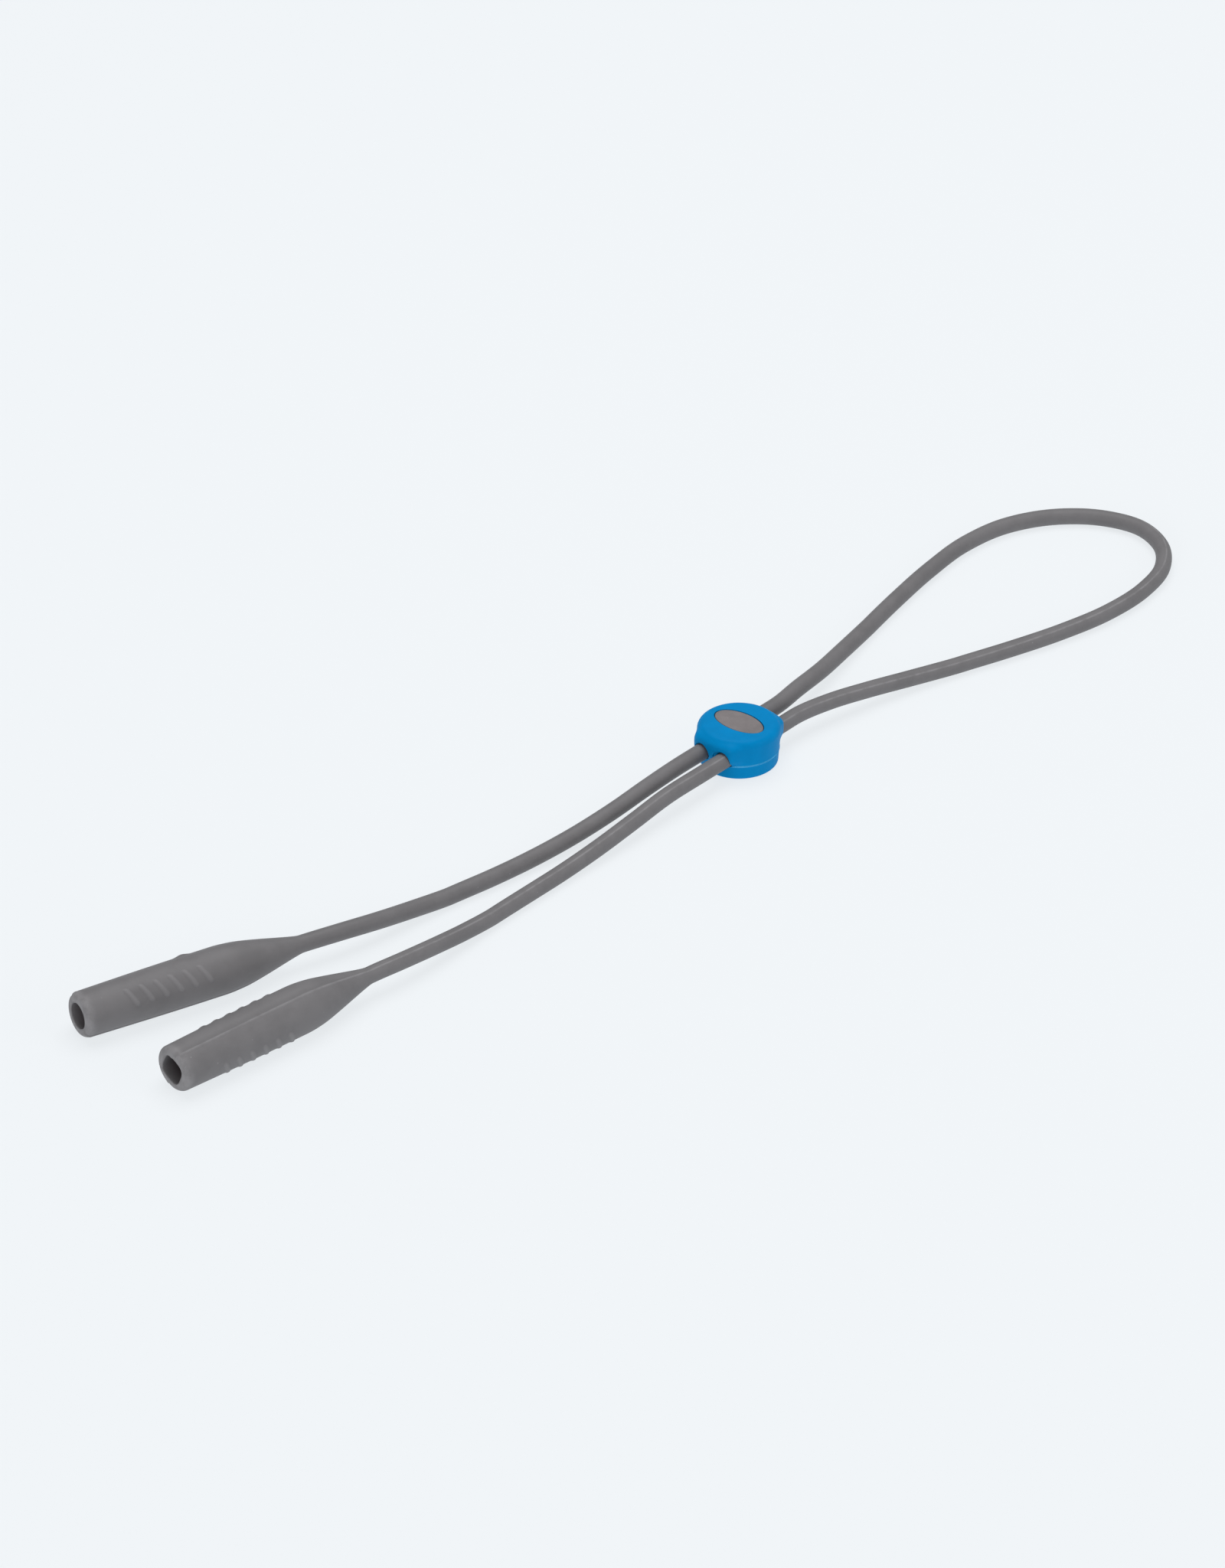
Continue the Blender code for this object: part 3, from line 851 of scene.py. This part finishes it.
def sleeve_outline(sleeve, length):
    """Rings from the bore's end, over the rim and down the outside to the cord, as arrays: height
    above the small end, radius, and whether the ring is on the outside."""
    cord_r = CORD_D / 2
    mouth_r = sleeve.mouth_d / 2
    bore_r = sleeve.bore_d / 2
    edge_r = bore_r + BORE_LIP
    rows = []
    for height in np.linspace(sleeve.taper + sleeve.bore_stop, length - BORE_LIP, BORE_RINGS):
        rows.append((height, bore_r, 0.0))
    for angle in quarter_turn(4)[1:]:
        rows.append((length - BORE_LIP * (1 - math.sin(angle)), edge_r - BORE_LIP * math.cos(angle), 0.0))
    ring = mouth_r - sleeve.rim
    for share in MOUTH_RINGS:
        rows.append((length, edge_r + (ring - edge_r) * share, 1.0))
    for angle in quarter_turn(10):
        rows.append((length - sleeve.rim * (1 - math.cos(angle)), ring + sleeve.rim * math.sin(angle), 1.0))
    body_end = length - sleeve.rim
    fine_end = sleeve.taper * FINE_TAPER
    heights = list(np.arange(body_end - RING_STEP, fine_end, -RING_STEP))
    heights += list(np.arange(fine_end, 0.0, -1.5 * RING_STEP)) + [0.0]
    for height in heights:
        share = max(0.0, (body_end - height) / (body_end - sleeve.taper))
        body = mouth_r + sleeve.swell * math.sin(math.pi / 2 * min(1.0, share * SWELL_RATE))
        full = mouth_r + sleeve.swell
        rise = height / sleeve.taper
        start = math.hypot(rise, TAPER_START) - TAPER_START
        start = start / (math.hypot(1.0, TAPER_START) - TAPER_START)
        bulge = TAPER_FULLNESS * math.sin(math.pi * min(1.0, rise)) * rise
        cone = cord_r + (full - cord_r) * (start + bulge)
        rows.append((height, float(soft_least(body, cone, TAPER_BLEND)), 1.0))
    return np.array(rows)


def bore_section(side, angle):
    """The radius of a bore's mouth round the axis, as a share of the round bore's: the left one is
    slightly oval, and the right one is squarish with a small tag."""
    if side == "left":
        return 1.0 + LEFT_BORE_OVALITY * np.cos(2 * angle + LEFT_BORE_TURN)
    power = RIGHT_BORE_SQUARENESS
    square = (np.abs(np.cos(angle)) ** power + np.abs(np.sin(angle)) ** power) ** (-1 / power)
    tag = soft_bump(around(angle - BORE_TAG_PLACE), BORE_TAG_REACH)
    return square * RIGHT_BORE_SHARE - BORE_TAG_DEPTH * tag


def sleeve_ways(side):
    """Directions across a sleeve: to its grip bars, and to its parting lines."""
    sleeve = bpy.context.scene.strap_sleeve
    _, axis, _ = sleeve_place(side)
    roll = sleeve.left_roll if side == "left" else sleeve.right_roll
    level = Vector((-axis.y, axis.x, 0.0))
    level = level if level.y < 0 else -level
    up = Vector((0.0, 0.0, 1.0))
    bars_way = np.array(level * math.cos(roll) + up * math.sin(roll))
    line_way = np.array(-level * math.sin(roll) + up * math.cos(roll))
    return bars_way, line_way


def outside_ring(side, angle, height, radius, length):
    """Each point's distance from the sleeve's axis, how much painted highlight it gets on the parting lines and
    the rim, and how much painted shade it gets in the hollow along the lines."""
    sleeve = bpy.context.scene.strap_sleeve
    cord = bpy.context.scene.strap_cord
    from_line = np.abs(np.abs(around(angle)) - math.pi / 2)
    past_line = around(2 * (angle - math.pi / 2)) / 2
    from_gate = around(angle - (1 if side == "left" else -1) * math.pi / 2)

    fullness = min(1.0, height / sleeve.taper)
    oval = 1.0 + sleeve.oval / 2 * np.cos(2 * angle) * fullness * fullness
    width = cord.line_width + (sleeve.line_width - cord.line_width) * fullness
    rise = cord.line_height + (sleeve.line_height - cord.line_height) * fullness
    ridge = soft_bump(from_line * radius, width / 2)
    away = radius * oval + rise * ridge
    hollow = soft_bump(past_line * radius, sleeve.step_width * fullness + HOLLOW_LEAST)
    hollow = np.where(past_line > 0, hollow, soft_bump(past_line * radius, width / 3))
    away = away - sleeve.step * fullness * hollow * (1.0 - HOLLOW_SPARED * ridge)
    gate = np.hypot(from_gate * radius, (length - height - sleeve.gate_place) * GATE_STRETCH)
    away = away + sleeve.gate_height * soft_bump(gate, sleeve.gate_width)

    # painted highlight on the mouth's rim
    painted_highlight = RIM_HIGHLIGHT * float(soft_bump(length - height, 2 * sleeve.rim))
    pale = np.maximum(ridge * (1.0 - LINE_FADE * fullness), painted_highlight)
    return away, pale, hollow * fullness * (1.0 - ridge)


def bore_ring(side, angle, height, radius, length):
    """Each point's distance from the sleeve's axis, on a bore that gets rounder further in."""
    sleeve = bpy.context.scene.strap_sleeve
    depth = (length - height) / (length - sleeve.taper)
    out_of_round = max(0.0, 1.0 - depth * BORE_ROUND_RATE)
    return radius * (1.0 + (bore_section(side, angle) - 1.0) * out_of_round)


def sleeve_mesh(name, side):
    """A sleeve's skin with its parting lines, before the grip bars."""
    sleeve = bpy.context.scene.strap_sleeve
    end, axis, length = sleeve_place(side)
    bars_way, line_way = sleeve_ways(side)
    angle = np.linspace(0.0, 2 * math.pi, sleeve.sides, endpoint=False)
    section = np.outer(np.cos(angle), bars_way) + np.outer(np.sin(angle), line_way)
    from_bars = around(2 * angle) / 2
    rings = []
    marks = {label: [] for label in ("painted_highlight_share", "painted_shade", "inside", "bar_arc", "from_mouth", "outside")}
    for height, radius, outer in sleeve_outline(sleeve, length):
        down = length - height
        if outer:
            away, pale, painted_shade = outside_ring(side, angle, height, radius, length)
            dark = 0.0
        else:
            away = bore_ring(side, angle, height, radius, length)
            pale = painted_shade = 0.0
            # painted shade in the bore, full from this depth on
            dark = min(1.0, down / BORE_PAINTED_SHADE_DEPTH)
        rings.append(np.array(end + axis * float(height)) + away[:, None] * section)
        values = (pale, painted_shade, dark, from_bars * radius, down, outer)
        for ring_values, value in zip(marks.values(), values):
            ring_values.append(np.broadcast_to(value, angle.shape))
    first_tip = end + axis * (sleeve.taper + sleeve.bore_stop)
    mesh = rings_to_mesh(name, rings, first_tip, end)
    at_tips = {"inside": (1.0, 0.0), "from_mouth": (length, length)}
    for label, ring_values in marks.items():
        store(mesh, label, np.concatenate([*ring_values, at_tips.get(label, (0.0, 0.0))]))
    face_outwards(mesh)
    return mesh


def grip_tree():
    """Raises a row of slanted bars with round ends on both sides of a sleeve."""
    tree, group_in, group_out = new_shape_tree("sleeve_grip", (
        ("Bars", "NodeSocketInt"), ("First", "NodeSocketFloat"), ("Pitch", "NodeSocketFloat"),
        ("Width", "NodeSocketFloat"), ("Length", "NodeSocketFloat"), ("Height", "NodeSocketFloat"),
        ("Lean", "NodeSocketFloat"), ("Material", "NodeSocketMaterial")))
    values = {}
    for label in ("bar_arc", "from_mouth", "outside"):
        node = add_node(tree, "GeometryNodeInputNamedAttribute", data_type="FLOAT")
        node.inputs["Name"].default_value = label
        values[label] = node.outputs["Attribute"]
    slant = maths(tree, "MULTIPLY", values["bar_arc"], maths(tree, "TANGENT", group_in.outputs["Lean"]))
    along = maths(tree, "ADD", values["from_mouth"], slant)
    along = maths(tree, "SUBTRACT", along, group_in.outputs["First"])
    nearest = maths(tree, "ROUND", maths(tree, "DIVIDE", along, group_in.outputs["Pitch"]))
    last = maths(tree, "SUBTRACT", group_in.outputs["Bars"], 1.0)
    nearest = maths(tree, "MINIMUM", maths(tree, "MAXIMUM", nearest, 0.0), last)
    across = maths(tree, "SUBTRACT", along, maths(tree, "MULTIPLY", nearest, group_in.outputs["Pitch"]))
    straight = maths(tree, "MULTIPLY", maths(tree, "SUBTRACT", group_in.outputs["Length"],
                                             group_in.outputs["Width"]), 0.5)
    past = maths(tree, "MAXIMUM", maths(tree, "SUBTRACT", maths(tree, "ABSOLUTE", values["bar_arc"]),
                                        straight), 0.0)
    away = maths(tree, "SQRT", maths(tree, "ADD", maths(tree, "MULTIPLY", across, across),
                                     maths(tree, "MULTIPLY", past, past)))
    half = maths(tree, "MULTIPLY", group_in.outputs["Width"], 0.5)
    crest = maths(tree, "MULTIPLY", half, BAR_CREST)
    foot = maths(tree, "MULTIPLY", half, BAR_FOOT)
    bar = ease(tree, away, crest, foot, 1.0, 0.0)
    bar = maths(tree, "MULTIPLY", bar, values["outside"])
    raised = stored(tree, group_in.outputs["Geometry"], "relief", bar)
    scale = add_node(tree, "ShaderNodeVectorMath", operation="SCALE")
    tree.links.new(add_node(tree, "GeometryNodeInputNormal").outputs[0], scale.inputs[0])
    tree.links.new(maths(tree, "MULTIPLY", bar, group_in.outputs["Height"]), scale.inputs["Scale"])
    shift = add_node(tree, "GeometryNodeSetPosition")
    tree.links.new(raised, shift.inputs["Geometry"])
    tree.links.new(scale.outputs[0], shift.inputs["Offset"])
    place = add_node(tree, "GeometryNodeInputPosition").outputs[0]
    placed = stored(tree, shift.outputs[0], "rest_place", place, "FLOAT_VECTOR")
    end_tree(tree, placed, group_in.outputs["Material"], group_out)
    return tree


class STRAP_OT_sleeves(bpy.types.Operator):
    """Build the two temple sleeves with their bores, parting lines and grip bars"""
    bl_idname = "strap.sleeves"
    bl_label = "Temple Sleeves"

    def execute(self, context):
        grip = context.scene.strap_grip
        tree = grip_tree()
        for side in ("left", "right"):
            name = side + "_temple_sleeve"
            blank = new_piece(name + "_blank", sleeve_mesh(name, side))
            run_tree(blank, tree, {"Bars": grip.bars, "First": grip.first, "Pitch": grip.pitch,
                                   "Width": grip.width, "Length": grip.length, "Height": grip.height,
                                   "Lean": grip.lean, "Material": grey_silicone()})
            piece = made_plain(blank, name)
            for label in ("bar_arc", "from_mouth", "outside"):
                piece.data.attributes.remove(piece.data.attributes[label])
            shade(piece.data, SHARP_SLEEVE)
            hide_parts(side + "_sleeve")
            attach(piece, side + "_arm")
        return {"FINISHED"}


# ---- slider bead ----

def half_outline(slider, upper):
    """(radius, height) pairs from the joint's edge, along the leaning side, to the face's middle,
    and the face's radius."""
    top_r, base_r = BEAD_D / 2, slider.base_d / 2
    lean = (top_r - base_r) / (BEAD_TOP - slider.top_edge - slider.bottom_edge)

    def side_r(z):
        return base_r + lean * (z - slider.bottom_edge)

    direction = 1 if upper else -1
    start = slider.joint_gap / 2
    edge = slider.top_edge if upper else slider.bottom_edge
    end = BEAD_TOP - slider.dome - edge if upper else edge
    heights = [JOINT_Z + direction * (start + JOINT_CHAMFER)]
    heights += [JOINT_Z + direction * step * JOINT_RING_STEP for step in range(2, 9)]
    past_lip = JOINT_Z + direction * 12 * JOINT_RING_STEP
    side_rings = 24 if upper else 12
    heights += list(np.linspace(past_lip, end, side_rings))[:-1]
    rows = [(side_r(JOINT_Z) - JOINT_CHAMFER, JOINT_Z + direction * start)]
    rows += [(side_r(z), z) for z in heights]
    for angle in quarter_turn(14):
        rows.append((side_r(end) - edge * (1 - math.cos(angle)), end + direction * edge * math.sin(angle)))
    inner = side_r(end) - edge
    for share in np.linspace(1.0, 0.0, FACE_RINGS)[1:-1]:
        rows.append((inner * share, BEAD_TOP - slider.dome * share * share if upper else 0.0))
    return rows, inner


def half_rings(slider, upper):
    """Rings of one half of the bead, with the shoulders at the passages' ends blended in."""
    angle = np.linspace(0.0, 2 * math.pi, slider.sides, endpoint=False)
    corner = (2 * np.abs(np.cos(angle)) / BEAD_LENGTH) ** BLOCK_SQUARENESS
    corner = corner + (2 * np.abs(np.sin(angle)) / slider.shoulder_width) ** BLOCK_SQUARENESS
    block = corner ** (-1 / BLOCK_SQUARENESS)
    rows, inner = half_outline(slider, upper)
    rings = []
    for radius, z in rows:
        out = np.full(len(angle), radius)
        if radius > inner:
            above = z - slider.shoulder_z
            reach = slider.shoulder_rise if above > 0 else slider.shoulder_drop
            power = BLOCK_SQUARENESS_ABOVE if above > 0 else BLOCK_SQUARENESS_BELOW
            level = min(1.0, abs(above) / reach)
            out = soft_most(out, block * (1.0 - level ** power) ** (1 / power), slider.shoulder_blend)
            out = out + slider.flash * float(soft_bump(z - JOINT_Z, LIP_REACH))
        rings.append(np.stack([out * np.cos(angle), out * np.sin(angle), np.full(len(angle), z)], axis=1))
    tips = (Vector((0.0, 0.0, rows[0][1])), Vector((0.0, 0.0, BEAD_TOP if upper else 0.0)))
    return rings, tips


def lip_share(mesh, slider):
    """How much painted highlight each point of a half gets on the thin lip round the joint, outside the passages.
    """
    place = np.array([point.co for point in mesh.vertices])
    from_passage = np.hypot(np.abs(place[:, 1]) - PASSAGE_SPACING / 2, place[:, 2] - PASSAGE_Z)
    outside = np.hypot(place[:, 0], place[:, 1]) > slider.base_d / 2 - slider.bottom_edge
    outside = outside & (from_passage > CORD_D / 2 + slider.passage_fit + LIP_REACH / 2)
    return np.where(outside, soft_bump(place[:, 2] - JOINT_Z, LIP_REACH), 0.0)


def passage_cutter(side, slider):
    """A bar along one passage whose ends flare into the rounded mouths."""
    radius = CORD_D / 2 + slider.passage_fit
    flare = slider.mouth_round
    face = BEAD_LENGTH / 2
    rows = [(0.0, radius)]
    for angle in quarter_turn(8):
        rows.append((face - flare + flare * math.sin(angle), radius + flare * (1 - math.cos(angle))))
    rows.append((face + CUTTER_OVERRUN, radius + flare))
    rows = [(-x, r) for x, r in rows[:0:-1]] + rows
    turn = np.linspace(0.0, 2 * math.pi, PASSAGE_SIDES, endpoint=False)
    y = side * PASSAGE_SPACING / 2
    rings = []
    for x, r in rows:
        ring = [np.full(PASSAGE_SIDES, x), y + r * np.cos(turn), PASSAGE_Z + r * np.sin(turn)]
        rings.append(np.stack(ring, axis=1))
    tips = (Vector((rows[0][0], y, PASSAGE_Z)), Vector((rows[-1][0], y, PASSAGE_Z)))
    mesh = rings_to_mesh("passage_cutter", rings, *tips)
    face_outwards(mesh)
    return new_piece("passage_cutter", mesh)


def oval_rings(rows, sides):
    """Rings of an upright oval: each row is how far it lies inside the oval's edge, and a height."""
    turn = np.linspace(0.0, 2 * math.pi, sides, endpoint=False)
    rings = []
    for inset, z in rows:
        half_x, half_y = INLAY_SIZE.x / 2 - inset, INLAY_SIZE.y / 2 - inset
        rings.append(np.stack([half_x * np.cos(turn), half_y * np.sin(turn), np.full(sides, z)], axis=1))
    return rings


def recess_cutter(inlay):
    """An oval plug with a slightly flared top edge, for the inlay's recess."""
    bottom, top = BEAD_TOP - inlay.depth, BEAD_TOP + RECESS_OVERRUN
    rows = [(-inlay.gap, bottom)]
    for angle in quarter_turn(5):
        inset = -inlay.gap - RECESS_FLARE * (1 - math.cos(angle))
        rows.append((inset, BEAD_TOP - RECESS_FLARE * (1 - math.sin(angle))))
    rows.append((-inlay.gap - RECESS_FLARE, top))
    rings = oval_rings(rows, inlay.sides)
    mesh = rings_to_mesh("recess_cutter", rings, Vector((0, 0, bottom)), Vector((0, 0, top)))
    face_outwards(mesh)
    return new_piece("recess_cutter", mesh)


class STRAP_OT_slider_halves(bpy.types.Operator):
    """Build the two halves of the slider bead, with snug passages and a thin lip at their joint"""
    bl_idname = "strap.slider_halves"
    bl_label = "Slider Halves"

    def execute(self, context):
        slider = context.scene.strap_slider
        passages = [passage_cutter(side, slider) for side in (1, -1)]
        recess = recess_cutter(context.scene.strap_inlay)
        for label, upper in (("upper", True), ("lower", False)):
            name = "slider_" + label + "_shell"
            rings, tips = half_rings(slider, upper)
            mesh = rings_to_mesh(name, rings, *tips)
            face_outwards(mesh)
            blank = new_piece(name + "_blank", mesh)
            for cutter in passages + ([recess] if upper else []):
                cut = blank.modifiers.new(cutter.name, "BOOLEAN")
                cut.operation = "DIFFERENCE"
                cut.solver = "EXACT"
                cut.object = cutter
            piece = made_plain(blank, name)
            # painted highlight on the lip round the joint
            store(piece.data, "painted_highlight_share", lip_share(piece.data, slider))
            store(piece.data, "rest_place", [tuple(point.co) for point in piece.data.vertices])
            piece.data.materials.clear()
            piece.data.materials.append(blue_silicone())
            shade(piece.data, SHARP_BEAD)
            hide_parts("slider_" + label + "_half")
            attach(piece, "slider")
        for cutter in (*passages, recess):
            bpy.data.objects.remove(cutter, do_unlink=True)
        return {"FINISHED"}


class STRAP_OT_slider_inlay(bpy.types.Operator):
    """Build the oval inlay in the top of the slider bead"""
    bl_idname = "strap.slider_inlay"
    bl_label = "Slider Inlay"

    def execute(self, context):
        inlay = context.scene.strap_inlay
        slider = context.scene.strap_slider
        top = BEAD_TOP - inlay.sink
        rows = [(0.0, BEAD_TOP - inlay.depth + INLAY_SEAT)]
        for angle in quarter_turn(6):
            rows.append((inlay.edge * (1 - math.cos(angle)), top - inlay.edge * (1 - math.sin(angle))))
        for inset in np.linspace(inlay.edge, INLAY_SIZE.x / 2, 18)[1:-1]:
            rows.append((inset, top))
        bottom = Vector((0, 0, rows[0][1]))
        rings = oval_rings(rows, inlay.sides)
        for ring in rings[1:]:
            away = np.hypot(ring[:, 0], ring[:, 1]) / (BEAD_D / 2 - slider.top_edge)
            ring[:, 2] -= slider.dome * away * away
        mesh = rings_to_mesh("slider_oval_inlay", rings, bottom, Vector((0, 0, top)))
        face_outwards(mesh)
        piece = new_piece("slider_oval_inlay", mesh)
        store(mesh, "rest_place", [tuple(point.co) for point in mesh.vertices])
        mesh.materials.append(inlay_silicone())
        shade(mesh, SHARP_INLAY)
        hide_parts("slider_inlay")
        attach(piece, "slider")
        return {"FINISHED"}


# ---- studio ----

def add_softbox(name, place, size, power, colour):
    """A round area light that faces the origin."""
    light = bpy.data.lights.new(name, "AREA")
    light.shape = "DISK"
    light.size = size
    light.energy = power
    light.color = colour
    lamp = new_piece(name, light)
    lamp.location = place
    lamp.rotation_euler = (-Vector(place)).to_track_quat("-Z", "Y").to_euler()


class STRAP_OT_studio(bpy.types.Operator):
    """Build the pale floor, the soft lights and the camera"""
    bl_idname = "strap.studio"
    bl_label = "Studio"

    def execute(self, context):
        studio = context.scene.strap_studio
        camera = bpy.data.objects.new("studio_camera", bpy.data.cameras.new("studio_camera"))
        context.scene.collection.objects.link(camera)
        turn, rise = studio.azimuth, studio.elevation
        back = Vector((math.sin(turn) * math.cos(rise), -math.cos(turn) * math.cos(rise), math.sin(rise)))
        camera.location = CAMERA_AIM + back * studio.distance
        camera.rotation_euler = (-back).to_track_quat("-Z", "Y").to_euler()
        camera.data.lens = studio.lens
        context.scene.camera = camera

        world = bpy.data.worlds.new("studio_world")
        world.use_nodes = True
        sky = world.node_tree.nodes["Background"]
        sky.inputs["Color"].default_value = (*SKY_COLOUR, 1.0)
        sky.inputs["Strength"].default_value = SKY_STRENGTH
        context.scene.world = world
        context.scene.view_settings.view_transform = "Standard"

        for softbox in SOFTBOXES:
            add_softbox(*softbox)

        mesh = bpy.data.meshes.new("studio_floor")
        corners = [(x * FLOOR_REACH, y * FLOOR_REACH, FLOOR_LEVEL)
                   for x, y in ((-1, -1), (1, -1), (1, 1), (-1, 1))]
        mesh.from_pydata(corners, [], [(0, 1, 2, 3)])
        floor = new_piece("studio_floor", mesh)
        material = bpy.data.materials.new("pale_floor")
        material.use_nodes = True
        shader = material.node_tree.nodes["Principled BSDF"]
        shade_of_floor = tuple(channel * studio.floor_share for channel in studio.floor)
        shader.inputs["Base Color"].default_value = (*shade_of_floor, 1.0)
        shader.inputs["Roughness"].default_value = 1.0
        shader.inputs["Specular IOR Level"].default_value = 0.0
        shader.inputs["Emission Color"].default_value = (*studio.floor, 1.0)
        shader.inputs["Emission Strength"].default_value = studio.floor_glow
        mesh.materials.append(material)
        return {"FINISHED"}


# ---- add-on ----

OPERATORS = (STRAP_OT_studio, STRAP_OT_arm_strands, STRAP_OT_neck_strands, STRAP_OT_loop_strand,
             STRAP_OT_sleeves, STRAP_OT_slider_halves, STRAP_OT_slider_inlay)


class STRAP_PT_panel(bpy.types.Panel):
    """Lists the strap's operators and settings in the sidebar"""
    bl_idname = "STRAP_PT_panel"
    bl_label = "Glasses Strap"
    bl_space_type = "VIEW_3D"
    bl_region_type = "UI"
    bl_category = "Strap"

    def draw(self, context):
        for operator in OPERATORS:
            self.layout.operator(operator.bl_idname)
        for name in SETTINGS:
            box = self.layout.box()
            settings = getattr(context.scene, name)
            for item in settings.bl_rna.properties:
                if item.identifier not in ("name", "rna_type"):
                    box.prop(settings, item.identifier)


def register():
    for group in SETTINGS.values():
        bpy.utils.register_class(group)
    for cls in (*OPERATORS, STRAP_PT_panel):
        bpy.utils.register_class(cls)
    for name, group in SETTINGS.items():
        setattr(bpy.types.Scene, name, bpy.props.PointerProperty(type=group))


def unregister():
    for name in SETTINGS:
        delattr(bpy.types.Scene, name)
    for cls in (STRAP_PT_panel, *OPERATORS[::-1]):
        bpy.utils.unregister_class(cls)
    for group in SETTINGS.values():
        bpy.utils.unregister_class(group)


def main():
    register()
    bpy.ops.strap.studio()
    bpy.ops.strap.arm_strands()
    bpy.ops.strap.neck_strands()
    bpy.ops.strap.loop_strand()
    bpy.ops.strap.sleeves()
    bpy.ops.strap.slider_halves()
    bpy.ops.strap.slider_inlay()


if __name__ == "__main__":
    main()
